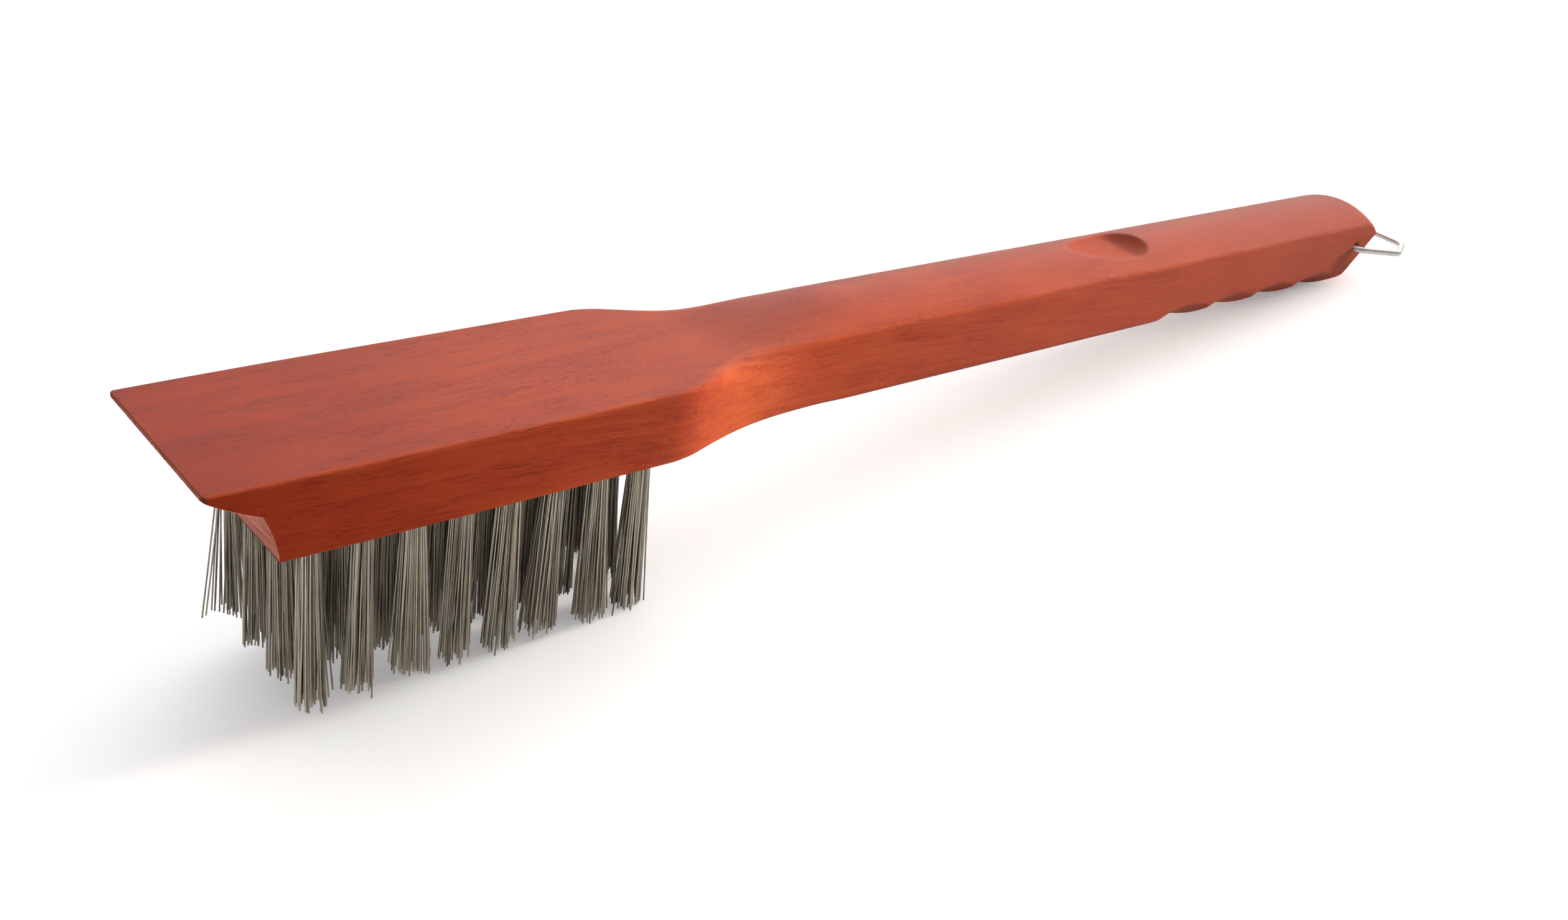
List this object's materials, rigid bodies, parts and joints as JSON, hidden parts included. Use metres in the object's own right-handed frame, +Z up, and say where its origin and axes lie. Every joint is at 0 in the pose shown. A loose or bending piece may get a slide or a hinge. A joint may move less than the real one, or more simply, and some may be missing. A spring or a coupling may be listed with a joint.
{
  "type": "grill brush",
  "caption": "Wooden grill brush with a scraper lip, rows of wire tufts under its head, a crowned handle with a thumb scoop and finger scallops, and a swinging wire hanging loop.",
  "frame": {"origin": "on the surface the brush stands on, under the middle of its bounding box", "axes": "+X from the scraper edge to the hanging loop, +Y across the head, +Z up from the surface"},
  "size_m": [0.469, 0.0476, 0.0739],
  "materials": {
    "stained_wood": "satin red-brown stain over open-pored wood",
    "bristle_steel": "drawn stainless wire, warm grey",
    "anchor_steel": "plain flat steel wire",
    "loop_steel": "satin bright steel wire"
  },
  "bodies": {
    "brush": {"wooden_body": "stained_wood", "bristle_row_1": "bristle_steel", "bristle_row_2": "bristle_steel", "bristle_row_3": "bristle_steel", "bristle_row_4": "bristle_steel", "anchor_1_1": "anchor_steel", "anchor_1_2": "anchor_steel", "anchor_1_3": "anchor_steel", "anchor_1_4": "anchor_steel", "anchor_1_5": "anchor_steel", "anchor_1_6": "anchor_steel", "anchor_1_7": "anchor_steel", "anchor_1_8": "anchor_steel", "anchor_2_1": "anchor_steel", "anchor_2_2": "anchor_steel", "anchor_2_3": "anchor_steel", "anchor_2_4": "anchor_steel", "anchor_2_5": "anchor_steel", "anchor_2_6": "anchor_steel", "anchor_2_7": "anchor_steel", "anchor_2_8": "anchor_steel", "anchor_3_1": "anchor_steel", "anchor_3_2": "anchor_steel", "anchor_3_3": "anchor_steel", "anchor_3_4": "anchor_steel", "anchor_3_5": "anchor_steel", "anchor_3_6": "anchor_steel", "anchor_3_7": "anchor_steel", "anchor_3_8": "anchor_steel", "anchor_4_1": "anchor_steel", "anchor_4_2": "anchor_steel", "anchor_4_3": "anchor_steel", "anchor_4_4": "anchor_steel", "anchor_4_5": "anchor_steel", "anchor_4_6": "anchor_steel", "anchor_4_7": "anchor_steel", "anchor_4_8": "anchor_steel"},
    "loop": {"hanging_loop": "loop_steel"}
  },
  "joints": [
    {"name": "loop_swing", "type": "hinge", "parent": "brush", "child": "loop", "pos_m": [0.19679, 0, 0.01372], "axis": [0, -1, 0], "range_deg": [-148, 162]}
  ]
}
